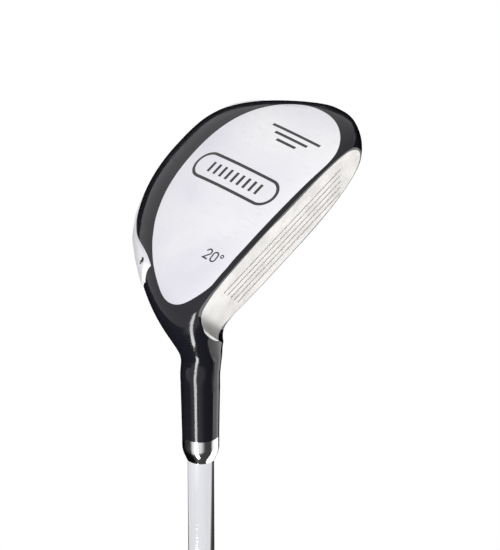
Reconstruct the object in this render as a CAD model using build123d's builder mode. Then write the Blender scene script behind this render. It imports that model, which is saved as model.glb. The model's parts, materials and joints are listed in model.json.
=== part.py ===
from build123d import *

import os
from math import cos, pi, radians, sin, tan

# Hybrid golf club, 20 degree loft, right handed, standing at address.
# Millimetres. +X runs from heel to toe, +Y to the target, +Z up.
# The origin is the lowest point of the sole, where the club rests on the ground.

# ---------------------------------------------------------------- driving sizes
LIE = 60.0  # shaft to ground, degrees
LOFT = 20.0  # face to vertical, degrees
CLUB_LENGTH = 1010.0  # along the shaft, ground to the end of the grip

AXIS_X = -30.0  # where the shaft axis meets the ground
AXIS_Y = 16.0
FACE_Y = 26.0  # where the face plane meets the ground

HOSEL_R = 6.6  # at its mouth
HOSEL_ROOT_R = 7.05  # where it starts to swell into the head
HOSEL_ROOT = 40.0  # distances along the shaft axis from the ground
HOSEL_END = 65.0
HOSEL_JOIN = 45.4  # the swelling form ends here, just inside the cone of the hosel
CONE_START = 45.0
CONE_STEP = 0.03  # the cone stands this proud of the swelling form
BORE_R = 4.85
BORE_START = 29.0
STOP_R = 3.0
STOP_LENGTH = 4.0

SIDE_WALL = 1.4
SOLE_WALL = 2.2
CROWN_WALL = 0.8
PLATE_THICKNESS = 0.9
FACE_THICKNESS = 2.2
CAVITY_HEEL_X = -33.0
INLAY_DEPTH = 0.3
FACE_HEEL_FILLET = 8.0

BAR_PROUD = 0.8
BAR_SUNK = 1.0

GROOVE_COUNT = 5
GROOVE_PITCH = 3.3
GROOVE_WIDTH = 0.8
GROOVE_DEPTH = 0.45
FIRST_GROOVE_Z = 10.6

SHAFT_TIP_R = 4.7
SHAFT_BUTT_R = 7.6
SHAFT_WALL = 0.45
SHAFT_STEPS = 13
STEP_SPACING = 36.0
STEP_TAPER = 2.0
FIRST_STEP = 200.0

FERRULE_STRAIGHT = 4.0
FERRULE_LENGTH = 9.5
FERRULE_TOP_R = 5.1

GRIP_LENGTH = 268.0
GRIP_MOUTH_R = 8.9
GRIP_BUTT_R = 13.2
GRIP_CAP_R = 13.7
GRIP_CAP_LENGTH = 7.0
TAPE_THICKNESS = 0.15
VENT_R = 1.5

# ---------------------------------------------------------------- frame of the shaft
shaft_direction = Vector(-cos(radians(LIE)), 0, sin(radians(LIE)))
ground_point = Vector(AXIS_X, AXIS_Y, 0)
shaft_axis = Axis(ground_point, shaft_direction)
# local x is a radius of the shaft, local y runs up its axis
profile_plane = Plane(ground_point, x_dir=(0, 1, 0), z_dir=(sin(radians(LIE)), 0, cos(radians(LIE))))


def across_shaft(distance):
    """The plane square to the shaft axis, this far up it from the ground."""
    return Plane(ground_point + shaft_direction * distance, x_dir=(0, 1, 0), z_dir=shaft_direction)


# ---------------------------------------------------------------- form of the head
# The head is lofted through sections: circles down the hosel, then a fan of tilted sections
# about a point above the heel, then upright sections across the body to the tip of the toe.
# A section has four extremes, and a quarter curve runs square to both of its ends.
ROUND = 4 * (2**0.5 - 1) / 3  # fullness of a quarter that makes a circle
BODY_FULLNESS = (0.60, 0.87, 0.62, 0.60)  # rear to sole, sole to face, face to crown, crown to rear

BODY_START = -28.0  # x where the upright sections begin
TOE_START = -4.0  # from here they close up towards the toe
TOE = (54.0, -0.8, 12.2)  # tip of the toe
TOE_SECTIONS = 14
WIDEST_X = 17.0  # where the body is deepest from front to back
HIGHEST_X = 6.0  # where the crown is highest and the sole lowest
REAR_Y = -48.0
FRONT_Y = 28.0  # front of the blank, before the face is cut
CROWN_Z = 33.0
HEEL_REAR_RISE, HEEL_CROWN_DROP, HEEL_SOLE_RISE = 18.5, 3.0, 1.8
REAR_PINCH = 0.61  # how much the toe's rear corner is trimmed off an ellipse
REAR_POWER, FRONT_POWER, CROWN_POWER, SOLE_POWER = 2.6, 2.9, 2.0, 2.3  # squareness towards the toe
REAR_WIDEST_Z, FRONT_WIDEST_Z = 13.2, 6.2
CROWN_LINE_Y, SOLE_LINE_Y = -7.0, 0.0
HEEL_CROWN_LINE_Y, HEEL_SOLE_LINE_Y = 4.0, 5.0

FAN_PIVOT = Vector(BODY_START, 0, 40)
FAN_SECTIONS = 8
HEEL_CORNER = 4.4  # how far the heel stands out of a plain blend from hosel to sole


def quarter(start, corner, end, fullness):
    """A quarter curve inside a corner, square at both ends."""
    first = (start[0] + fullness * (corner[0] - start[0]), start[1] + fullness * (corner[1] - start[1]))
    second = (end[0] + fullness * (corner[0] - end[0]), end[1] + fullness * (corner[1] - end[1]))
    Bezier(start, first, second, end)


def section(plane, rear, sole, front, crown, fullness):
    """A closed section through its four extremes."""
    with BuildSketch(plane) as outline:
        with BuildLine():
            quarter(rear, (rear[0], sole[1]), sole, fullness[0])
            quarter(sole, (front[0], sole[1]), front, fullness[1])
            quarter(front, (front[0], crown[1]), crown, fullness[2])
            quarter(crown, (rear[0], crown[1]), rear, fullness[3])
        make_face()
    return outline.sketch


def blend(share, first, second, third, fourth):
    """A value that runs smoothly from first to fourth, leaving towards second."""
    rest = 1 - share
    return rest**3 * first + 3 * rest**2 * share * second + 3 * rest * share**2 * third + share**3 * fourth


def hosel_radius(distance):
    """The hosel's radius this far up the shaft axis."""
    return HOSEL_R + (HOSEL_ROOT_R - HOSEL_R) * (HOSEL_END - distance) / (HOSEL_END - HOSEL_ROOT)


def hosel_section(distance, inset):
    """A circle across the hosel."""
    r = hosel_radius(distance) - inset
    plane = Plane(ground_point + shaft_direction * distance, x_dir=(0, 1, 0), z_dir=-shaft_direction)
    return section(plane, (-r, 0), (0, -r), (r, 0), (0, r), [ROUND] * 4)


def fan_section(share, side, sole, crown):
    """A section on a plane through the pivot, from square to the hosel (0) to upright (1)."""
    tilt = radians(90 - LIE + share * LIE)
    plane = Plane(FAN_PIVOT, x_dir=(0, 1, 0), z_dir=(sin(tilt), 0, -cos(tilt)))
    to_crown = blend(share, 13.8, 13.4, 10.5, 10.0)
    to_heel = blend(share, 28.6, 31.0, 36.9, 38.2) + HEEL_CORNER * sin(pi * share) ** 2
    rear = blend(share, 8.4, 5.6, -18.0, REAR_Y + HEEL_REAR_RISE)
    front = blend(share, 23.2, 23.4, 27.2, 28.0)
    height = to_heel - to_crown
    widest_rear = -to_crown - height * blend(share, 0.50, 0.50, 0.58, 0.59)
    widest_front = -to_crown - height * blend(share, 0.50, 0.50, 0.80, 0.84)
    crown_y = blend(share, 16, 16, 7, HEEL_CROWN_LINE_Y)
    heel_y = blend(share, 16, 16, 8, HEEL_SOLE_LINE_Y)
    fullness = [blend(share, ROUND, ROUND, value, value) for value in BODY_FULLNESS]
    return section(
        plane,
        (rear + side, widest_rear),
        (heel_y, -to_heel + sole),
        (front - side, widest_front),
        (crown_y, -to_crown - crown),
        fullness,
    )


def body_section(x, side, sole, crown):
    """An upright section across the body."""
    tip = TOE[0] - side
    wide = max(0, (x - WIDEST_X) / (tip - WIDEST_X))
    high = max(0, (x - HIGHEST_X) / (tip - HIGHEST_X))
    behind = max(0, (WIDEST_X - x) / (WIDEST_X - BODY_START))
    below = max(0, (HIGHEST_X - x) / (HIGHEST_X - BODY_START))

    rear_share = (1 - wide**REAR_POWER) ** 0.5 * (1 - REAR_PINCH * wide**3.6)
    front_share = (1 - wide**FRONT_POWER) ** 0.5
    crown_share = (1 - high**CROWN_POWER) ** 0.5
    sole_share = (1 - high**SOLE_POWER) ** 0.5

    rear = TOE[1] + (REAR_Y + side + HEEL_REAR_RISE * behind**2.4 - TOE[1]) * rear_share
    front = TOE[1] + (FRONT_Y - side - TOE[1]) * front_share
    top = TOE[2] + (CROWN_Z - crown - HEEL_CROWN_DROP * below**2 - TOE[2]) * crown_share
    low = TOE[2] + (sole + HEEL_SOLE_RISE * below**2 - TOE[2]) * sole_share
    crown_y = TOE[1] + (CROWN_LINE_Y + (HEEL_CROWN_LINE_Y - CROWN_LINE_Y) * below**1.5 - TOE[1]) * rear_share
    sole_y = TOE[1] + (SOLE_LINE_Y + (HEEL_SOLE_LINE_Y - SOLE_LINE_Y) * below**1.5 - TOE[1]) * rear_share
    widest_rear = TOE[2] + (REAR_WIDEST_Z - TOE[2]) * rear_share
    widest_front = TOE[2] + (FRONT_WIDEST_Z - TOE[2]) * sole_share
    plane = Plane((x, 0, 0), x_dir=(0, 1, 0), z_dir=(1, 0, 0))
    extremes = ((rear, widest_rear), (sole_y, low), (front, widest_front), (crown_y, top))
    return section(plane, *extremes, BODY_FULLNESS)


def head_form(side, sole, crown):
    """The whole form of the head, moved inwards by these amounts."""
    sections = [hosel_section(distance, side) for distance in (60, 55, 50, 45, HOSEL_ROOT)]
    sections += [fan_section(step / FAN_SECTIONS, side, sole, crown) for step in range(FAN_SECTIONS)]
    sections += [body_section(x, side, sole, crown) for x in (BODY_START, -22, -16, -10)]
    for step in range(TOE_SECTIONS):
        reach = TOE[0] - side - TOE_START
        x = TOE_START + reach * sin(pi / 2 * step / TOE_SECTIONS)
        sections.append(body_section(x, side, sole, crown))
    with BuildPart() as form:
        loft(sections=sections + [Vertex(TOE[0] - side, TOE[1], TOE[2])])
        split(bisect_by=across_shaft(HOSEL_JOIN), keep=Keep.BOTTOM)
        with BuildSketch(across_shaft(CONE_START)):
            Circle(hosel_radius(CONE_START) + CONE_STEP - side)
        with BuildSketch(across_shaft(HOSEL_END)):
            Circle(HOSEL_R - side)
        loft()
    return form.part


FAR = 90.0  # beyond every side of the head

# ---------------------------------------------------------------- cutting the face
FACE_HEEL_X = -50.0  # the face's heel wall at the ground
FACE_HEEL_SLOPE = 0.38  # how it moves to the toe as it rises
FACE_TOOL_LOW, FACE_TOOL_HIGH = -12.0, 62.0
FACE_TOOL_TOE, FACE_TOOL_FRONT = 90.0, 90.0


def in_front_of_face(back):
    """Everything in front of the face, or of a surface this far behind it.

    The face is flat, and turns forward into the hosel through a fillet at the heel."""
    with BuildPart() as tool:
        for z in (FACE_TOOL_LOW, FACE_TOOL_HIGH):
            y = FACE_Y - z * tan(radians(LOFT)) - back / cos(radians(LOFT))
            x = FACE_HEEL_X + FACE_HEEL_SLOPE * z - back
            r = FACE_HEEL_FILLET + back
            with BuildSketch(Plane.XY.offset(z)):
                with BuildLine():
                    Line((FACE_TOOL_TOE, y), (x + r, y))
                    RadiusArc((x + r, y), (x, y + r), r)
                    outer_corners = ((x, FACE_TOOL_FRONT), (FACE_TOOL_TOE, FACE_TOOL_FRONT))
                    Polyline((x, y + r), *outer_corners, (FACE_TOOL_TOE, y))
                make_face()
        loft(ruled=True)
    return tool.part


outer_form = head_form(0, 0, 0)
ahead_of_face = in_front_of_face(0)
ahead_of_face_back = in_front_of_face(FACE_THICKNESS)
with BuildPart() as head_outside:
    add(outer_form)
    add(ahead_of_face, mode=Mode.SUBTRACT)

# the hollow reaches from the foot of the hosel to the toe, and stops at the back of the face
with BuildPart() as cavity:
    with BuildSketch(Plane.YZ.offset(CAVITY_HEEL_X)):
        with BuildLine():
            low_back = FACE_Y - (FACE_THICKNESS / cos(radians(LOFT)) - FAR * tan(radians(LOFT)))
            high_back = low_back - 2 * FAR * tan(radians(LOFT))
            Polyline((low_back, -FAR), (high_back, FAR), (-FAR, FAR), (-FAR, -FAR), close=True)
        make_face()
    extrude(amount=FAR)
    add(head_form(SIDE_WALL, SOLE_WALL, CROWN_WALL), mode=Mode.INTERSECT, clean=False)


# ---------------------------------------------------------------- sole plate
PLATE_FRONT_TOE = (25.0, 23.9)  # ends of its straight edge along the face
PLATE_FRONT_HEEL = (-31.0, 22.9)
PLATE_EDGE = [
    (34, 22.6),
    (43.2, 14.5),
    (47.8, 0),
    (43.5, -15.5),
    (30, -26.5),
    (9, -29.5),
    (-12, -25),
    (-30, -12),
    (-41.2, 3),
    (-44.3, 10),
    (-43.2, 16.4),
    (-38.8, 20.4),
]
PLATE_PRISM_LOW, PLATE_PRISM_HIGH = -5.0, 8.0

with BuildPart() as plate_prism:
    with BuildSketch(Plane.XY.offset(PLATE_PRISM_LOW)):
        with BuildLine():
            corners = (PLATE_FRONT_TOE, *PLATE_EDGE, PLATE_FRONT_HEEL)
            Spline(*corners, tangents=((1, 0), (1, 0)), tangent_scalars=(1, 1))
            Line(PLATE_FRONT_HEEL, PLATE_FRONT_TOE)
        make_face()
    extrude(amount=PLATE_PRISM_HIGH - PLATE_PRISM_LOW)


def from_below(x, y):
    """A plane over the sole that reads the right way round from below, with the toe up."""
    return Plane((x, y, PLATE_PRISM_HIGH), x_dir=(0, 1, 0), z_dir=(0, 0, -1))


BADGE_X, BADGE_Y = 7.0, -3.0
BADGE_LENGTH, BADGE_WIDTH, BADGE_LINE = 43.0, 12.0, 1.2
BADGE_BARS, BADGE_BAR_PITCH, BADGE_BAR_WIDTH, BADGE_BAR_LENGTH = 9, 3.2, 1.3, 4.6
TOE_MARK_X, TOE_MARK_Y = 30.5, 3.0
TOE_DASHES = (10.0, 17.0, 25.0)
TOE_DASH_PITCH, TOE_DASH_WIDTH = 2.6, 1.1
LOFT_MARK_X, LOFT_MARK_Y = -24.7, 15.6
DIGIT_HEIGHT, DIGIT_WIDTH, DIGIT_PITCH, DIGIT_LINE = 3.8, 2.2, 3.3, 0.6
mark_depth = PLATE_PRISM_HIGH - PLATE_PRISM_LOW

with BuildPart() as badge_prism:
    with BuildSketch(from_below(BADGE_X, BADGE_Y)):
        SlotOverall(BADGE_LENGTH, BADGE_WIDTH)
        SlotOverall(BADGE_LENGTH - 2 * BADGE_LINE, BADGE_WIDTH - 2 * BADGE_LINE, mode=Mode.SUBTRACT)
        with GridLocations(BADGE_BAR_PITCH, 0, BADGE_BARS, 1):
            Rectangle(BADGE_BAR_WIDTH, BADGE_BAR_LENGTH)
    extrude(amount=mark_depth)

with BuildPart() as toe_mark_prism:
    with BuildSketch(from_below(TOE_MARK_X, TOE_MARK_Y)):
        for row, length in enumerate(TOE_DASHES):
            with Locations((0, (row - 1) * TOE_DASH_PITCH)):
                Rectangle(length, TOE_DASH_WIDTH)
    extrude(amount=mark_depth)

half = DIGIT_WIDTH / 2
with BuildPart() as loft_mark_prism:
    with BuildSketch(from_below(LOFT_MARK_X, LOFT_MARK_Y)):
        with BuildLine():
            top = DIGIT_HEIGHT - half
            Line((-DIGIT_PITCH + half, 0), (-DIGIT_PITCH - half, 0))
            Line((-DIGIT_PITCH - half, 0), (-DIGIT_PITCH + 0.9 * half, top - 0.4 * half))
            ThreePointArc(
                (-DIGIT_PITCH + 0.9 * half, top - 0.4 * half),
                (-DIGIT_PITCH, DIGIT_HEIGHT),
                (-DIGIT_PITCH - half, top),
            )
        trace(line_width=DIGIT_LINE)
        with Locations((0, DIGIT_HEIGHT / 2)):
            SlotOverall(DIGIT_HEIGHT + DIGIT_LINE, DIGIT_WIDTH + DIGIT_LINE, rotation=90)
            SlotOverall(DIGIT_HEIGHT - DIGIT_LINE, DIGIT_WIDTH - DIGIT_LINE, rotation=90, mode=Mode.SUBTRACT)
        with Locations((0.85 * DIGIT_PITCH, DIGIT_HEIGHT - 0.5)):
            Circle(0.8)
            Circle(0.35, mode=Mode.SUBTRACT)
    extrude(amount=mark_depth)

inlay_floor = head_form(INLAY_DEPTH, INLAY_DEPTH, INLAY_DEPTH)


def inlay(prism):
    """A thin enamel filling, flush with the sole."""
    with BuildPart() as filling:
        add(prism)
        add(head_outside.part, mode=Mode.INTERSECT)
        add(inlay_floor, mode=Mode.SUBTRACT)
    return filling.part


with BuildPart() as badge_inlay:
    add(inlay(badge_prism.part))
with BuildPart() as toe_mark_inlay:
    add(inlay(toe_mark_prism.part))
with BuildPart() as loft_mark_inlay:
    add(inlay(loft_mark_prism.part))

# the recess for the plate reaches past the head, so its sides and floor are the plate's own
with BuildPart() as plate_recess:
    add(plate_prism.part)
    add(head_form(PLATE_THICKNESS, PLATE_THICKNESS, PLATE_THICKNESS), mode=Mode.SUBTRACT, clean=False)

with BuildPart() as sole_plate:
    add(head_outside.part)
    add(plate_recess.part, mode=Mode.INTERSECT, clean=False)
    for filling in (badge_inlay, toe_mark_inlay, loft_mark_inlay):
        add(filling.part, mode=Mode.SUBTRACT, clean=False)

# ---------------------------------------------------------------- face plate
# its outline as seen along Y: sole edge, toe, top edge, then the lobe that turns into the hosel
FACE_OUTLINE = [
    (0, 2.75),
    (20, 3.0),
    (32, 4.2),
    (39, 6.6),
    (42.6, 12.5),
    (41, 17.8),
    (35, 22.4),
    (22, 25.9),
    (0, 27.3),
    (-20, 27.5),
    (-31, 27.2),
    (-37.5, 26),
    (-41.7, 22.3),
    (-43.8, 17.5),
    (-44.2, 13),
    (-40, 8.0),
    (-32, 4.7),
    (-20, 3.4),
]
FACE_MASK_FRONT, FACE_MASK_BACK = 40.0, 5.0

with BuildPart() as face_recess:
    with BuildSketch(Plane.XZ.offset(-FACE_MASK_FRONT)):
        with BuildLine():
            Spline(*FACE_OUTLINE, periodic=True)
        make_face()
    extrude(amount=FACE_MASK_FRONT - FACE_MASK_BACK)
    add(ahead_of_face_back, mode=Mode.INTERSECT, clean=False)
    add(plate_recess.part, mode=Mode.SUBTRACT, clean=False)

# local x runs to the heel and local y up the face
face_plane = Plane(
    (0, FACE_Y, 0),
    x_dir=(-1, 0, 0),
    z_dir=(0, cos(radians(LOFT)), sin(radians(LOFT))),
)
GROOVE_HEEL_X, GROOVE_HEEL_STEP = -29.5, 1.1
GROOVE_TOE_X, GROOVE_TOE_STEP = 33.0, 0.6

with BuildPart() as face_plate:
    add(head_outside.part)
    add(face_recess.part, mode=Mode.INTERSECT, clean=False)
    with BuildSketch(face_plane):
        for row in range(GROOVE_COUNT):
            heel_end = GROOVE_HEEL_X + row * GROOVE_HEEL_STEP
            toe_end = GROOVE_TOE_X - row * GROOVE_TOE_STEP
            height = FIRST_GROOVE_Z / cos(radians(LOFT)) + row * GROOVE_PITCH
            with Locations((-(heel_end + toe_end) / 2, height)):
                SlotOverall(toe_end - heel_end, GROOVE_WIDTH)
    extrude(amount=-GROOVE_DEPTH, mode=Mode.SUBTRACT)

# ---------------------------------------------------------------- crown shell
CROWN_SPLIT_Z = 17.0
CROWN_HEEL_X = -24.0
CROWN_FRONT_Y = 12.0

with BuildPart() as crown_opening:
    with BuildSketch(Plane.XY.offset(CROWN_SPLIT_Z)):
        with Locations(((FAR + CROWN_HEEL_X) / 2, (CROWN_FRONT_Y - FAR) / 2)):
            Rectangle(FAR - CROWN_HEEL_X, CROWN_FRONT_Y + FAR)
    extrude(amount=FAR)

with BuildPart() as crown_shell:
    add(outer_form)
    add(crown_opening.part, mode=Mode.INTERSECT, clean=False)
    add(cavity.part, mode=Mode.SUBTRACT, clean=False)
    add(face_recess.part, mode=Mode.SUBTRACT, clean=False)

# ---------------------------------------------------------------- rear weight bar and its screws
BAR_LOWER_EDGE = [
    (-36, 3.6),
    (-32.5, 4.3),
    (-26, 7.4),
    (-16, 10.8),
    (0, 12.4),
    (18, 12.8),
    (30, 11.6),
    (37, 9.8),
    (42, 9.6),
]
BAR_UPPER_EDGE = [(44, 14), (24, 16), (0, 16), (-22, 15.5), (-36, 12.3), (-42, 8.4)]
BAR_HEEL_TIP = (-41.4, 6.2)
BAR_TOE_END = (44.6, 11.8)
BAR_FRONT_Y = 2.0

# each screw stands on the bar, square to the head's side
SCREW_SEATS = (
    ((-35.2, -12.2, 5.2), (-0.45, -0.62, -0.64)),
    ((40.5, -34.0, 12.0), (0.62, -0.78, -0.05)),
)
SCREW_HEAD_R, SCREW_HEAD_LENGTH = 1.3, 1.2
SCREW_SHANK_R, SCREW_LENGTH = 0.8, 5.5
SCREW_SOCKET_R, SCREW_SOCKET_DEPTH = 0.65, 0.8


def screw_plane(seat):
    """The plane under a screw's head, its normal pointing out of the club."""
    (x, y, z), outwards = seat
    return Plane((x, y, z), z_dir=outwards)


with BuildPart() as weight_bar_screws:
    for seat in SCREW_SEATS:
        plane = screw_plane(seat)
        with BuildSketch(plane):
            Circle(SCREW_HEAD_R)
        extrude(amount=SCREW_HEAD_LENGTH)
        with BuildSketch(plane):
            Circle(SCREW_SHANK_R)
        extrude(amount=-SCREW_LENGTH)
        with BuildSketch(plane.offset(SCREW_HEAD_LENGTH)):
            RegularPolygon(SCREW_SOCKET_R, 6)
        extrude(amount=-SCREW_SOCKET_DEPTH, mode=Mode.SUBTRACT)

# the room that the screws take out of the bar and the body
with BuildPart() as screw_holes:
    for seat in SCREW_SEATS:
        plane = screw_plane(seat)
        with BuildSketch(plane):
            Circle(SCREW_HEAD_R)
        extrude(amount=2 * SCREW_HEAD_LENGTH)
        with BuildSketch(plane):
            Circle(SCREW_SHANK_R)
        extrude(amount=-SCREW_LENGTH)

with BuildPart() as bar_blank:
    with BuildSketch(Plane.XZ.offset(-BAR_FRONT_Y)):
        with BuildLine():
            Spline(*BAR_LOWER_EDGE)
            ThreePointArc(BAR_LOWER_EDGE[-1], BAR_TOE_END, BAR_UPPER_EDGE[0])
            Spline(*BAR_UPPER_EDGE)
            Polyline(BAR_UPPER_EDGE[-1], BAR_HEEL_TIP, BAR_LOWER_EDGE[0])
        make_face()
    extrude(amount=FAR)
    add(head_form(-BAR_PROUD, -BAR_PROUD, -BAR_PROUD), mode=Mode.INTERSECT, clean=False)
    add(head_form(BAR_SUNK, BAR_SUNK, BAR_SUNK), mode=Mode.SUBTRACT, clean=False)

with BuildPart() as rear_weight_bar:
    add(bar_blank.part)
    add(plate_recess.part, mode=Mode.SUBTRACT, clean=False)
    add(screw_holes.part, mode=Mode.SUBTRACT, clean=False)

# ---------------------------------------------------------------- head body and what is inside it
with BuildPart() as hosel_bore:
    with BuildSketch(across_shaft(BORE_START)):
        Circle(BORE_R)
    extrude(amount=HOSEL_END - BORE_START)
    with BuildSketch(across_shaft(BORE_START)):
        Circle(STOP_R)
    extrude(amount=-STOP_LENGTH)

with BuildPart() as head_body:
    add(head_outside.part)
    for tool in (crown_opening, cavity, face_recess, plate_recess, bar_blank, hosel_bore, screw_holes):
        add(tool.part, mode=Mode.SUBTRACT, clean=False)

with BuildPart() as hosel_stop:
    with BuildSketch(across_shaft(BORE_START)):
        Circle(STOP_R)
    extrude(amount=-STOP_LENGTH)

# a puddle of glue on the cavity's floor that holds the head's swing weight
GLUE_X, GLUE_Y = 4.0, -14.0
GLUE_RADIUS_X, GLUE_RADIUS_Y = 17.0, 10.0
GLUE_TOP_Z = 4.6

with BuildPart() as hot_melt_pad:
    with BuildSketch():
        with Locations((GLUE_X, GLUE_Y)):
            Ellipse(GLUE_RADIUS_X, GLUE_RADIUS_Y)
    extrude(amount=GLUE_TOP_Z)
    add(cavity.part, mode=Mode.INTERSECT, clean=False)

# ---------------------------------------------------------------- ferrule, glue, shaft and tip weight
with BuildPart() as ferrule:
    with BuildSketch(profile_plane):
        with BuildLine():
            shoulder = (HOSEL_R, HOSEL_END + FERRULE_STRAIGHT)
            lip = (FERRULE_TOP_R, HOSEL_END + FERRULE_LENGTH)
            inner_lip = (SHAFT_TIP_R, HOSEL_END + FERRULE_LENGTH)
            Polyline(lip, inner_lip, (SHAFT_TIP_R, HOSEL_END), (HOSEL_R, HOSEL_END), shoulder)
            Spline(shoulder, lip, tangents=((0, 1), (-0.35, 1)))
        make_face()
    revolve(axis=shaft_axis)


def sleeve(inner_r, outer_r, start, end):
    """A plain tube round the shaft axis."""
    with BuildPart() as tube:
        with BuildSketch(across_shaft(start)):
            Circle(outer_r)
            Circle(inner_r, mode=Mode.SUBTRACT)
        extrude(amount=end - start)
    return tube.part


with BuildPart() as epoxy_bond:
    add(sleeve(SHAFT_TIP_R, BORE_R, BORE_START, HOSEL_END))

shaft_end = CLUB_LENGTH - GRIP_CAP_LENGTH
step_rise = (SHAFT_BUTT_R - SHAFT_TIP_R) / SHAFT_STEPS

with BuildPart() as shaft:
    with BuildSketch(profile_plane):
        outline = [(SHAFT_TIP_R - SHAFT_WALL, BORE_START), (SHAFT_TIP_R, BORE_START)]
        for step in range(SHAFT_STEPS):
            start = FIRST_STEP + step * STEP_SPACING
            r = SHAFT_TIP_R + step * step_rise
            outline += [(r, start), (r + step_rise, start + STEP_TAPER)]
        outline += [(SHAFT_BUTT_R, shaft_end), (SHAFT_BUTT_R - SHAFT_WALL, shaft_end)]
        last_step = FIRST_STEP + (SHAFT_STEPS - 1) * STEP_SPACING
        outline += [(SHAFT_BUTT_R - SHAFT_WALL, last_step), (SHAFT_TIP_R - SHAFT_WALL, FIRST_STEP)]
        with BuildLine():
            Polyline(*outline, close=True)
        make_face()
    revolve(axis=shaft_axis)

TIP_WEIGHT_LENGTH = 20.0
with BuildPart() as tip_weight:
    with BuildSketch(across_shaft(BORE_START)):
        Circle(SHAFT_TIP_R - SHAFT_WALL)
    extrude(amount=TIP_WEIGHT_LENGTH)

# ---------------------------------------------------------------- shaft band and grip
BAND_THICKNESS = 0.08
BAND_LENGTH, BAND_GAP = 75.0, 12.0
grip_start = CLUB_LENGTH - GRIP_LENGTH

with BuildPart() as shaft_band:
    band_end = grip_start - BAND_GAP
    add(sleeve(SHAFT_BUTT_R, SHAFT_BUTT_R + BAND_THICKNESS, band_end - BAND_LENGTH, band_end))

tape_r = SHAFT_BUTT_R + TAPE_THICKNESS
with BuildPart() as grip_tape:
    add(sleeve(SHAFT_BUTT_R, tape_r, grip_start, shaft_end))

GRIP_LIP = 1.0
RING_DEPTH, RING_WIDTH = 0.35, 1.2
RING_PLACES = (6.0, 9.5, 250.0)  # from the mouth of the grip


def grip_radius(place):
    """The grip's radius this far from its mouth."""
    share = place / (GRIP_LENGTH - GRIP_CAP_LENGTH)
    return GRIP_MOUTH_R + (GRIP_BUTT_R - GRIP_MOUTH_R) * share


with BuildPart() as grip_rings:
    for place in RING_PLACES:
        with BuildSketch(profile_plane):
            with BuildLine():
                low, high = grip_start + place, grip_start + place + RING_WIDTH
                low_r, high_r = grip_radius(place), grip_radius(place + RING_WIDTH)
                inner_r = low_r - RING_DEPTH
                Polyline((inner_r, low), (low_r, low), (high_r, high), (inner_r, high), close=True)
            make_face()
        revolve(axis=shaft_axis)

with BuildPart() as grip:
    with BuildSketch(profile_plane):
        with BuildLine():
            Polyline(
                (tape_r, shaft_end),
                (tape_r, grip_start),
                (GRIP_MOUTH_R - GRIP_LIP, grip_start),
                (GRIP_MOUTH_R, grip_start + GRIP_LIP),
                (GRIP_BUTT_R, shaft_end),
                close=True,
            )
        make_face()
    revolve(axis=shaft_axis)
    add(grip_rings.part, mode=Mode.SUBTRACT)

CAP_EDGE = 2.2
with BuildPart() as grip_cap:
    with BuildSketch(across_shaft(shaft_end)):
        Circle(GRIP_CAP_R)
    extrude(amount=GRIP_CAP_LENGTH)
    fillet(grip_cap.edges().group_by(Axis(ground_point, shaft_direction))[-1], CAP_EDGE)
    with BuildSketch(across_shaft(shaft_end)):
        Circle(VENT_R)
    extrude(amount=GRIP_CAP_LENGTH, mode=Mode.SUBTRACT)

# ---------------------------------------------------------------- one file for each piece
pieces = {
    "head_body": head_body,
    "face_plate": face_plate,
    "crown_shell": crown_shell,
    "sole_plate": sole_plate,
    "badge_inlay": badge_inlay,
    "toe_mark_inlay": toe_mark_inlay,
    "loft_mark_inlay": loft_mark_inlay,
    "rear_weight_bar": rear_weight_bar,
    "weight_bar_screws": weight_bar_screws,
    "hosel_stop": hosel_stop,
    "hot_melt_pad": hot_melt_pad,
    "ferrule": ferrule,
    "epoxy_bond": epoxy_bond,
    "shaft": shaft,
    "tip_weight": tip_weight,
    "shaft_band": shaft_band,
    "grip_tape": grip_tape,
    "grip": grip,
    "grip_rings": grip_rings,
    "grip_cap": grip_cap,
}
os.makedirs("parts", exist_ok=True)
for name, piece in pieces.items():
    piece.part.label = name
    export_step(piece.part, f"parts/{name}.step")
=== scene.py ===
import json
import math

import bpy
from mathutils import Matrix, Vector


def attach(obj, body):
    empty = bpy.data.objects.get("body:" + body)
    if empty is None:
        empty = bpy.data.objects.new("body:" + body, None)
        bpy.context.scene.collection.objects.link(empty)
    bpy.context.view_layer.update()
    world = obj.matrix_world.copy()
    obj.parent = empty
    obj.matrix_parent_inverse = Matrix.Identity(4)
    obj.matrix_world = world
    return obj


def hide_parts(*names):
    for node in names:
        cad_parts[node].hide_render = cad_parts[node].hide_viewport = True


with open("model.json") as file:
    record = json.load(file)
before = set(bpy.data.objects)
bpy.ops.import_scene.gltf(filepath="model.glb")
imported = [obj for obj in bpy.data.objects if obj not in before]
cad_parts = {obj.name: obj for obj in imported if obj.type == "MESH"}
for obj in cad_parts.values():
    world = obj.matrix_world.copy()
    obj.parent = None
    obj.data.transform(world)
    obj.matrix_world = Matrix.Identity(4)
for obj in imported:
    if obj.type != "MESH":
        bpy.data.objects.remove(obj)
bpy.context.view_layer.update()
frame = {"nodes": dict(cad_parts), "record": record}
nodes = frame["nodes"]

MM = 0.001

# ---------------------------------------------------------------- the shaft's own frame
# The club leans along the row's X and Z. Its two mounts on the shaft axis give the axis.
mounts = {m["name"]: m for m in frame["record"]["mounts"]}
shaft_up = Vector(mounts["grip_hold"]["axis"]).normalized()
on_axis = Vector(mounts["grip_hold"]["pos_m"])
ground = on_axis - shaft_up * (on_axis.z / shaft_up.z)  # where the axis meets the ground
shaft_side = Vector((0, 1, 0))
shaft_front = shaft_up.cross(shaft_side)

# The CAD model's own sizes, in millimetres up the axis.
CLUB_LENGTH = 1010.0
GRIP_CAP_LENGTH = 7.0
GRIP_START = CLUB_LENGTH - 268.0
SHAFT_END = CLUB_LENGTH - GRIP_CAP_LENGTH


def along_shaft(distance, radius=0.0, angle=0.0):
    """A point this far up the shaft axis and out from it, in metres."""
    out = shaft_side * math.cos(angle) + shaft_front * math.sin(angle)
    return ground + shaft_up * (distance * MM) + out * (radius * MM)


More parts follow.
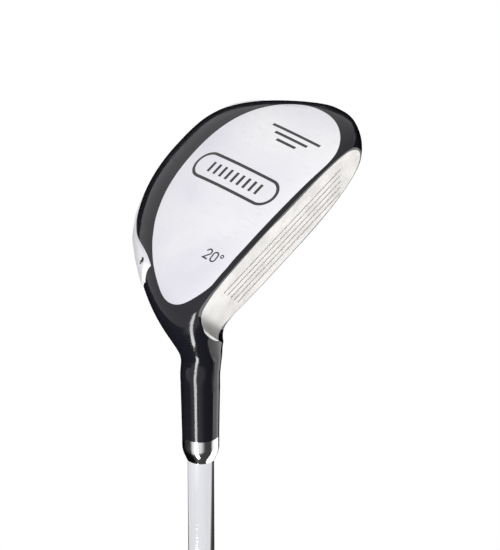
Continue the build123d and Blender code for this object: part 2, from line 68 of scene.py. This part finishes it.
# ---------------------------------------------------------------- material building
def new_material(name, **sockets):
    """A Principled material. Uniform values sit on the shader's own sockets."""
    material = bpy.data.materials.new(name)
    material.use_nodes = True
    shader = material.node_tree.nodes["Principled BSDF"]
    for key, value in sockets.items():
        shader.inputs[key.replace("_", " ")].default_value = value
    return material


def add_node(material, kind, inputs=None, **settings):
    """A node with its settings and its input values or links."""
    node = material.node_tree.nodes.new(kind)
    for key, value in settings.items():
        setattr(node, key, value)
    for key, value in (inputs or {}).items():
        if isinstance(value, bpy.types.NodeSocket):
            material.node_tree.links.new(value, node.inputs[key])
        else:
            node.inputs[key].default_value = value
    return node


def place(material, scale=(1, 1, 1), rotation=(0, 0, 0)):
    """Coordinates in metres in the row frame, stretched by scale."""
    coords = add_node(material, "ShaderNodeTexCoord")
    inputs = {"Vector": coords.outputs["Object"], "Scale": scale, "Rotation": rotation}
    return add_node(material, "ShaderNodeMapping", inputs).outputs["Vector"]


def noise(material, scale, vector=None, detail=3.0, roughness=0.5, distortion=0.0):
    """Noise whose features are about 1/scale metres across."""
    inputs = {"Scale": scale, "Detail": detail, "Roughness": roughness, "Distortion": distortion}
    inputs["Vector"] = vector if vector is not None else place(material)
    return add_node(material, "ShaderNodeTexNoise", inputs).outputs["Fac"]


def remap(material, value, low, high, to_low, to_high):
    """Stretches a value from one range to another, without going outside it."""
    inputs = {"Value": value, "From Min": low, "From Max": high, "To Min": to_low, "To Max": to_high}
    return add_node(material, "ShaderNodeMapRange", inputs, interpolation_type="SMOOTHSTEP").outputs["Result"]


def math_node(material, operation, *values):
    """The result of a sum or another operation on values or links."""
    return add_node(material, "ShaderNodeMath", dict(enumerate(values)), operation=operation).outputs[0]


def mix_colour(material, share, first, second):
    """One colour into another."""
    node = add_node(material, "ShaderNodeMix", data_type="RGBA")
    for socket, value in ((node.inputs[0], share), (node.inputs[6], first), (node.inputs[7], second)):
        if isinstance(value, bpy.types.NodeSocket):
            material.node_tree.links.new(value, socket)
        else:
            socket.default_value = value
    return node.outputs[2]


def to_shader(material, **sockets):
    """Links outputs to the shader's sockets."""
    shader = material.node_tree.nodes["Principled BSDF"]
    for key, output in sockets.items():
        material.node_tree.links.new(output, shader.inputs[key.replace("_", " ")])


def bump(material, height, depth, strength=1.0, under=None):
    """A bump of this depth in metres."""
    inputs = {"Height": height, "Distance": depth, "Strength": strength}
    if under is not None:
        inputs["Normal"] = under
    return add_node(material, "ShaderNodeBump", inputs).outputs["Normal"]


def scratches(material, direction, spacing, seed):
    """Sparse fine hairlines that run about this way, as 0 to 1."""
    stretch = place(material, scale=(1, 0.03, 1), rotation=(seed, 0.3 * seed, direction))
    lines = noise(material, spacing, stretch, detail=1.0)
    return remap(material, lines, 0.66, 0.72, 0.0, 1.0)


def grey(value, blue=1.0, red=1.0):
    return (value * red, value, value * blue, 1)


# ---------------------------------------------------------------- materials
def make_gloss_black(name, blue, seed):
    """Black coating on steel: deep gloss, faint orange peel, fine handling marks."""
    material = new_material(name, Metallic=0.0, Coat_Weight=0.1, Coat_Roughness=0.04, Specular_IOR_Level=0.28)
    clouds = noise(material, 24 + seed, detail=4)
    to_shader(
        material,
        Base_Color=mix_colour(material, clouds, grey(0.0035, blue), grey(0.009, blue * 1.15)),
    )
    smudges = remap(material, noise(material, 70 + seed, detail=5, roughness=0.6), 0.35, 0.75, 0.07, 0.17)
    marks = scratches(material, 0.7 + seed, 900, seed)
    roughness = math_node(material, "MULTIPLY_ADD", marks, 0.10, smudges)
    peel = noise(material, 650, detail=2)
    fine = noise(material, 5200, detail=2)
    normal = bump(material, peel, 0.0000020)
    to_shader(
        material,
        Roughness=roughness,
        Normal=bump(material, fine, 0.0000006, under=normal),
    )
    return material


def make_polished_sole():
    """Mirror-like plate with a soft lilac cast, polishing haze and hairlines."""
    material = new_material("polished_sole", Metallic=1.0, Anisotropic=0.25)
    haze = remap(material, noise(material, 16, detail=3, distortion=0.8), 0.3, 0.7, 0, 1)
    base = mix_colour(material, haze, (0.97, 0.97, 0.98, 1), (0.83, 0.82, 0.89, 1))
    lines = scratches(material, 0.2, 2600, 1.0)
    cross = scratches(material, 1.1, 3100, 2.0)
    worn = math_node(material, "MAXIMUM", lines, cross)
    to_shader(material, Base_Color=mix_colour(material, worn, base, (0.84, 0.83, 0.86, 1)))
    polish = remap(material, noise(material, 55, detail=5), 0.3, 0.7, 0.15, 0.24)
    roughness = math_node(material, "MULTIPLY_ADD", worn, 0.05, polish)
    waves = noise(material, 60, detail=2)
    normal = bump(material, waves, 0.00003)
    grain = noise(material, 2600, place(material, scale=(1, 0.06, 1)), detail=2)
    to_shader(
        material,
        Roughness=roughness,
        Normal=bump(material, grain, 0.0000015, under=normal),
    )
    return material


def make_blasted_face():
    """Bead-blasted steel: pale, warm, even sparkle at a quarter of a millimetre."""
    material = new_material("blasted_face", Metallic=0.75)
    patches = noise(material, 40, detail=4)
    pits = noise(material, 3800, detail=3)
    base = mix_colour(material, patches, (0.70, 0.68, 0.66, 1), (0.77, 0.755, 0.735, 1))
    base = mix_colour(material, remap(material, pits, 0.25, 0.5, 0.3, 0), base, (0.55, 0.53, 0.51, 1))
    to_shader(material, Base_Color=base)
    rubbed = remap(material, noise(material, 120, detail=4), 0.35, 0.7, 0.46, 0.60)
    normal = bump(material, pits, 0.000012, strength=0.8)
    to_shader(
        material,
        Roughness=rubbed,
        Normal=bump(material, noise(material, 900, detail=2), 0.000008, under=normal),
    )
    return material


def make_enamel():
    """Black enamel in the sole's marks: slightly wavy, satin."""
    material = new_material("enamel", Coat_Weight=0.3, Coat_Roughness=0.1)
    clouds = noise(material, 500, detail=3)
    to_shader(
        material,
        Base_Color=mix_colour(material, clouds, grey(0.006), grey(0.016)),
        Roughness=remap(material, clouds, 0.3, 0.7, 0.28, 0.42),
        Normal=bump(material, noise(material, 1500), 0.000008),
    )
    return material


def make_satin_bar():
    """Satin steel of the weight bar, brushed along its length."""
    material = new_material("satin_bar", Metallic=0.5, Anisotropic=0.3)
    grain = noise(material, 3000, place(material, scale=(0.05, 1, 1)), detail=2)
    clouds = noise(material, 60, detail=3)
    to_shader(
        material,
        Base_Color=mix_colour(material, clouds, (0.78, 0.77, 0.80, 1), (0.88, 0.875, 0.89, 1)),
        Roughness=remap(material, grain, 0.3, 0.7, 0.36, 0.46),
        Normal=bump(material, grain, 0.0000012),
    )
    return material


def make_plain(name, first, second, feature, roughness, depth, **sockets):
    """Two close colours in clouds, uneven roughness and a fine surface."""
    material = new_material(name, **sockets)
    clouds = noise(material, feature, detail=4)
    fine = noise(material, feature * 12, detail=3)
    to_shader(
        material,
        Base_Color=mix_colour(material, clouds, first, second),
        Roughness=remap(material, fine, 0.3, 0.7, roughness * 0.8, roughness * 1.2),
        Normal=bump(material, fine, depth),
    )
    return material


def along_axis(material):
    """Distance up the shaft in metres, measured from the ground."""
    coords = add_node(material, "ShaderNodeTexCoord").outputs["Object"]
    inputs = {0: coords, 1: tuple(shaft_up)}
    dot = add_node(material, "ShaderNodeVectorMath", inputs, operation="DOT_PRODUCT").outputs["Value"]
    return math_node(material, "SUBTRACT", dot, ground.dot(shaft_up))


def make_shaft_chrome():
    """Chrome over drawn steel: mirror bright with faint polishing rings."""
    material = new_material("shaft_chrome", Metallic=1.0)
    rings = add_node(material, "ShaderNodeTexNoise", {"Scale": 900.0, "Detail": 2.0}, noise_dimensions="1D")
    material.node_tree.links.new(along_axis(material), rings.inputs["W"])
    clouds = noise(material, 14, detail=3)
    to_shader(
        material,
        Base_Color=mix_colour(material, clouds, (0.80, 0.81, 0.84, 1), (0.88, 0.885, 0.90, 1)),
        Roughness=remap(material, rings.outputs["Fac"], 0.3, 0.7, 0.05, 0.13),
        Normal=bump(material, rings.outputs["Fac"], 0.0000012),
    )
    return material


def make_band_film():
    """Blank gloss film with two pale border lines at each end."""
    material = new_material("band_film", Coat_Weight=0.8, Coat_Roughness=0.05)
    low, high = BAND
    up = along_axis(material)
    from_middle = math_node(material, "SUBTRACT", up, (low + high) / 2 * MM)
    from_middle = math_node(material, "ABSOLUTE", from_middle)
    half = (high - low) / 2 * MM
    thin_line = math_node(material, "COMPARE", from_middle, half - 0.0045, 0.0006)
    wide_line = math_node(material, "COMPARE", from_middle, half - 0.008, 0.0014)
    both = math_node(material, "MAXIMUM", thin_line, wide_line)
    clouds = noise(material, 60, detail=3)
    film = mix_colour(material, clouds, grey(0.008), grey(0.018, 1.1))
    to_shader(
        material,
        Base_Color=mix_colour(material, both, film, (0.55, 0.55, 0.57, 1)),
        Roughness=remap(material, noise(material, 300, detail=3), 0.3, 0.7, 0.12, 0.24),
        Normal=bump(material, noise(material, 700), 0.000004),
    )
    return material


BAND = (655.0, 730.0)
looks = {
    "black_head": make_gloss_black("black_head", 1.35, 0.0),
    "black_crown": make_gloss_black("black_crown", 1.2, 3.0),
    "polished_sole": make_polished_sole(),
    "blasted_face": make_blasted_face(),
    "black_enamel": make_enamel(),
    "satin_bar": make_satin_bar(),
    "screw_steel": make_plain("screw_steel", grey(0.05), grey(0.11), 700, 0.35, 0.000004, Metallic=1.0),
    "hot_melt": make_plain(
        "hot_melt", (0.72, 0.62, 0.38, 1), (0.80, 0.72, 0.50, 1), 90, 0.4, 0.00005, Subsurface_Weight=0.2
    ),
    "stop_plug": make_plain("stop_plug", grey(0.02), grey(0.04), 300, 0.7, 0.00002),
    "silver_ferrule": make_plain(
        "silver_ferrule", (0.80, 0.80, 0.82, 1), (0.90, 0.90, 0.91, 1), 80, 0.10, 0.0000015, Metallic=1.0
    ),
    "epoxy": make_plain("epoxy", (0.36, 0.33, 0.24, 1), (0.46, 0.43, 0.34, 1), 200, 0.5, 0.00002),
    "shaft_chrome": make_shaft_chrome(),
    "tip_brass": make_plain(
        "tip_brass", (0.72, 0.52, 0.22, 1), (0.80, 0.62, 0.32, 1), 100, 0.3, 0.000005, Metallic=1.0
    ),
    "band_film": make_band_film(),
    "tape": make_plain("tape", (0.70, 0.67, 0.58, 1), (0.80, 0.77, 0.68, 1), 150, 0.75, 0.00002),
    "grip_rubber": make_plain(
        "grip_rubber", grey(0.010), grey(0.022, 0.97), 180, 0.62, 0.00003, Specular_IOR_Level=0.35
    ),
    "cap_rubber": make_plain(
        "cap_rubber", grey(0.012), grey(0.022), 150, 0.5, 0.00001, Specular_IOR_Level=0.4
    ),
    "ring_paint": make_plain("ring_paint", grey(0.55), grey(0.66), 250, 0.5, 0.000015),
}

slots = {entry["node"]: entry["material_slot"] for entry in frame["record"]["subparts"]}
for name, piece in nodes.items():
    look = looks[slots[name]]
    if not piece.material_slots:
        piece.data.materials.append(look)
    for place_for in piece.material_slots:
        place_for.material = look


# ---------------------------------------------------------------- turned pieces round the shaft
def turned(name, node, outline, segments, closed=True, relief=None):
    """A piece turned round the shaft axis from (distance, radius) points, standing for a CAD node."""
    verts = []
    for distance, radius in outline:
        for step in range(segments):
            angle = 2 * math.pi * step / segments
            depth = relief(distance, radius, angle) if relief else 0.0
            verts.append(along_shaft(distance, radius - depth, angle))
    faces = []
    rows = len(outline)
    for row in range(rows if closed else rows - 1):
        for step in range(segments):
            after = (step + 1) % segments
            low, high = row * segments, (row + 1) % rows * segments
            faces.append((low + step, low + after, high + after, high + step))
    mesh = bpy.data.meshes.new(name)
    mesh.from_pydata(verts, [], faces)
    mesh.validate()
    mesh.update()
    piece = bpy.data.objects.new(name, mesh)
    bpy.context.scene.collection.objects.link(piece)
    mesh.polygons.foreach_set("use_smooth", [True] * len(faces))
    mesh.materials.append(looks[slots[node]])
    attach(piece, "root")
    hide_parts(node)
    return piece


# the stepped tube
TIP_R, BUTT_R, WALL = 4.7, 7.6, 0.45
STEPS, FIRST_STEP, STEP_SPACING, STEP_TAPER = 13, 200.0, 36.0, 2.0
BORE_START = 29.0
rise = (BUTT_R - TIP_R) / STEPS
SOFTEN = 0.2  # each step's corners are eased over this much
tube = [(BORE_START, TIP_R - WALL), (BORE_START, TIP_R)]
for step in range(STEPS):
    start = FIRST_STEP + step * STEP_SPACING
    r = TIP_R + step * rise
    end = start + STEP_TAPER
    tube += [(start - SOFTEN, r), (start + SOFTEN, r + 0.06 * rise)]
    tube += [(end - SOFTEN, r + 0.94 * rise), (end + SOFTEN, r + rise)]
last_step = FIRST_STEP + (STEPS - 1) * STEP_SPACING
tube += [(SHAFT_END, BUTT_R), (SHAFT_END, BUTT_R - WALL), (last_step, BUTT_R - WALL)]
tube += [(FIRST_STEP, TIP_R - WALL)]
turned("stepped_shaft", "shaft", tube, 96)

# the blank band of film
FILM_R = BUTT_R + 0.08
film = [(BAND[0], BUTT_R), (BAND[0], FILM_R), (BAND[1], FILM_R), (BAND[1], BUTT_R)]
turned("shaft_film_band", "shaft_band", film, 96)


# the grip, with a moulded pattern of short staggered slots round it
MOUTH_R, GRIP_BUTT_R = 8.9, 13.2
TAPE_R = BUTT_R + 0.15
PATTERN_START, PATTERN_END = GRIP_START + 16, SHAFT_END - 14
PLAIN_BAND = (GRIP_START + 118, GRIP_START + 134)
ROW_PITCH, ROW_CELLS = 2.6, 20
SLOT_DEPTH = 0.4


def soft_step(value, low, high):
    share = min(1, max(0, (value - low) / (high - low)))
    return share * share * (3 - 2 * share)


def grip_relief(distance, radius, angle):
    """Depth of the moulded pattern, zero where the grip is plain."""
    if radius < TAPE_R + 0.5:
        return 0.0
    inside = soft_step(distance, PATTERN_START, PATTERN_START + 2) - soft_step(
        distance, PATTERN_END - 2, PATTERN_END
    )
    inside -= soft_step(distance, PLAIN_BAND[0], PLAIN_BAND[0] + 2) - soft_step(
        distance, PLAIN_BAND[1] - 2, PLAIN_BAND[1]
    )
    if inside <= 0:
        return 0.0
    row = math.floor((distance - PATTERN_START) / ROW_PITCH)
    across = (distance - PATTERN_START) / ROW_PITCH - row - 0.5
    turn = angle / (2 * math.pi) * ROW_CELLS + (row % 2) * 0.5
    along = turn - math.floor(turn) - 0.5
    slot_shape = soft_step(0.30 - abs(across), 0, 0.14) * soft_step(0.34 - abs(along), 0, 0.10)
    return SLOT_DEPTH * slot_shape * inside


RING_WIDTH, RING_PLACES = 1.2, (6.0, 9.5, 250.0)


def grip_radius(place):
    return MOUTH_R + (GRIP_BUTT_R - MOUTH_R) * place / (SHAFT_END - GRIP_START)


sleeve = [(SHAFT_END, TAPE_R), (GRIP_START, TAPE_R)]
sleeve += [(GRIP_START, MOUTH_R - 0.9), (GRIP_START + 0.3, MOUTH_R - 0.35), (GRIP_START + 1.0, MOUTH_R)]
row_step = ROW_PITCH / 6
place_now = 1.6
while place_now < SHAFT_END - GRIP_START - 0.2:
    in_ring = any(start - 0.2 < place_now < start + RING_WIDTH + 0.2 for start in RING_PLACES)
    if not in_ring:
        sleeve.append((GRIP_START + place_now, grip_radius(place_now)))
    place_now += row_step
for start in RING_PLACES:
    low_r, high_r = grip_radius(start), grip_radius(start + RING_WIDTH)
    low, high = GRIP_START + start, GRIP_START + start + RING_WIDTH
    sleeve += [(low, low_r), (low + 0.02, low_r - 0.12), (high - 0.02, high_r - 0.12), (high, high_r)]
front_part, outer_part = sleeve[:5], sorted(sleeve[5:], key=lambda point: point[0])
sleeve = front_part + outer_part + [(SHAFT_END, GRIP_BUTT_R)]
turned("rubber_grip", "grip", sleeve, 160, relief=grip_relief)

# painted rings, a little below the rubber's surface
for index, start in enumerate(RING_PLACES):
    low_r, high_r = grip_radius(start) - 0.08, grip_radius(start + RING_WIDTH) - 0.08
    low, high = GRIP_START + start + 0.04, GRIP_START + start + RING_WIDTH - 0.04
    ring = [(low, low_r - 0.2), (low, low_r), (high, high_r), (high, high_r - 0.2)]
    turned(f"painted_ring_{index + 1}", "grip_rings", ring, 128)

# the butt cap, rounded, with its vent hole and a shallow dished ring
CAP_R, VENT_R = 13.7, 1.5
cap = [(CLUB_LENGTH, VENT_R), (SHAFT_END, VENT_R), (SHAFT_END, CAP_R), (CLUB_LENGTH - 2.4, CAP_R)]
cap += [(CLUB_LENGTH - 1.4, CAP_R - 0.25), (CLUB_LENGTH - 0.6, CAP_R - 0.8)]
cap += [(CLUB_LENGTH - 0.15, CAP_R - 1.6), (CLUB_LENGTH, CAP_R - 2.4)]
cap += [(CLUB_LENGTH, 9.2), (CLUB_LENGTH - 0.25, 8.9), (CLUB_LENGTH - 0.25, 7.6), (CLUB_LENGTH, 7.3)]
cap += [(CLUB_LENGTH, 3.0)]
turned("grip_butt_cap", "grip_cap", cap, 128)

# ---------------------------------------------------------------- camera
TO_CAMERA = Vector((-0.278, 0.679, -0.680)).normalized()
IMAGE_RIGHT = Vector((0.658, 0.650, 0.380))
DISTANCE = 1.5
SENSOR_WIDTH, LENS = 36.0, 307.8
AIM = Vector((-0.0146, 0.0150, 0.0209))

camera_data = bpy.data.cameras.new("camera")
camera_data.sensor_fit = "HORIZONTAL"
camera_data.sensor_width = SENSOR_WIDTH
camera_data.lens = LENS
camera_data.clip_start, camera_data.clip_end = 0.01, 200.0
camera = bpy.data.objects.new("camera", camera_data)
bpy.context.scene.collection.objects.link(camera)
right = (IMAGE_RIGHT - TO_CAMERA * IMAGE_RIGHT.dot(TO_CAMERA)).normalized()
up = TO_CAMERA.cross(right)
camera.matrix_world = Matrix.Translation(AIM + TO_CAMERA * DISTANCE) @ Matrix(
    ((right.x, up.x, TO_CAMERA.x), (right.y, up.y, TO_CAMERA.y), (right.z, up.z, TO_CAMERA.z))
).to_4x4()
bpy.context.scene.camera = camera

# ---------------------------------------------------------------- studio
FLOOR_Z = -1.35


def make_floor():
    """A wide pale floor, well below the club because the photograph looks at the sole from below."""
    rings, segments, reach = 24, 48, 60.0
    verts = [Vector((0, 0, FLOOR_Z))]
    for ring in range(1, rings + 1):
        radius = reach * (ring / rings) ** 2
        for step in range(segments):
            angle = 2 * math.pi * step / segments
            verts.append(Vector((radius * math.cos(angle), radius * math.sin(angle), FLOOR_Z)))
    faces = [(0, 1 + step, 1 + (step + 1) % segments) for step in range(segments)]
    for ring in range(rings - 1):
        low, high = 1 + ring * segments, 1 + (ring + 1) * segments
        for step in range(segments):
            after = (step + 1) % segments
            faces.append((low + step, high + step, high + after, low + after))
    mesh = bpy.data.meshes.new("floor")
    mesh.from_pydata(verts, [], faces)
    floor = bpy.data.objects.new("floor", mesh)
    bpy.context.scene.collection.objects.link(floor)
    material = make_plain("lit_floor", grey(0.40), grey(0.42), 0.6, 0.85, 0.0002, Emission_Strength=0.84)
    clouds = remap(material, noise(material, 0.9, detail=1), 0.35, 0.65, 0, 1)
    glow = mix_colour(material, clouds, (0.93, 0.93, 0.955, 1), (0.98, 0.98, 0.985, 1))
    to_shader(material, Emission_Color=glow)
    mesh.materials.append(material)


def soft_light(name, position, target, size, watts, colour=(1, 1, 1)):
    """A rectangular softbox that points at the target."""
    data = bpy.data.lights.new(name, "AREA")
    data.shape = "RECTANGLE"
    data.size, data.size_y = size
    data.energy = watts
    data.color = colour
    light = bpy.data.objects.new(name, data)
    light.location = position
    light.rotation_mode = "QUATERNION"
    light.rotation_quaternion = (Vector(target) - Vector(position)).to_track_quat("-Z", "Y")
    bpy.context.scene.collection.objects.link(light)
    return light


make_floor()
HEAD = Vector((0, 0, 0.015))
soft_light("ceiling", (0.4, 0.5, 2.6), (0.1, 0.2, 0), (2.6, 2.6), 34)
soft_light("front", (0.75, 1.5, 1.45), HEAD, (1.0, 1.0), 2.2)
soft_light("strip", (-1.0, 0.33, -0.02), HEAD, (0.2, 1.6), 20)


def make_world():
    """Pale near the horizon, darker overhead, with a white patch behind the club."""
    world = bpy.data.worlds.new("studio")
    bpy.context.scene.world = world
    world.use_nodes = True
    tree = world.node_tree
    background = tree.nodes["Background"]
    coords = tree.nodes.new("ShaderNodeTexCoord")

    def world_math(operation, *values):
        node = tree.nodes.new("ShaderNodeMath")
        node.operation = operation
        for index, value in enumerate(values):
            if isinstance(value, bpy.types.NodeSocket):
                tree.links.new(value, node.inputs[index])
            else:
                node.inputs[index].default_value = value
        return node.outputs[0]

    def ramp(value, low, high, to_low, to_high):
        node = tree.nodes.new("ShaderNodeMapRange")
        node.interpolation_type = "SMOOTHSTEP"
        tree.links.new(value, node.inputs["Value"])
        for key, number in (("From Min", low), ("From Max", high), ("To Min", to_low), ("To Max", to_high)):
            node.inputs[key].default_value = number
        return node.outputs["Result"]

    split = tree.nodes.new("ShaderNodeSeparateXYZ")
    tree.links.new(coords.outputs["Generated"], split.inputs[0])
    wall = ramp(split.outputs["Z"], 0.10, 0.34, 0.86, 0.05)
    behind = ramp(split.outputs["Y"], -0.25, 0.05, 0.04, 1.0)
    wall = world_math("MULTIPLY", wall, behind)
    dot = tree.nodes.new("ShaderNodeVectorMath")
    dot.operation = "DOT_PRODUCT"
    tree.links.new(coords.outputs["Generated"], dot.inputs[0])
    dot.inputs[1].default_value = tuple(-TO_CAMERA)
    patch = ramp(dot.outputs["Value"], math.cos(math.radians(6.5)), math.cos(math.radians(5.0)), 0.0, 1.0)
    tree.links.new(world_math("MAXIMUM", wall, patch), background.inputs["Strength"])
    background.inputs["Color"].default_value = (1.0, 1.0, 1.0, 1)


make_world()
bpy.context.scene.view_settings.view_transform = "Standard"
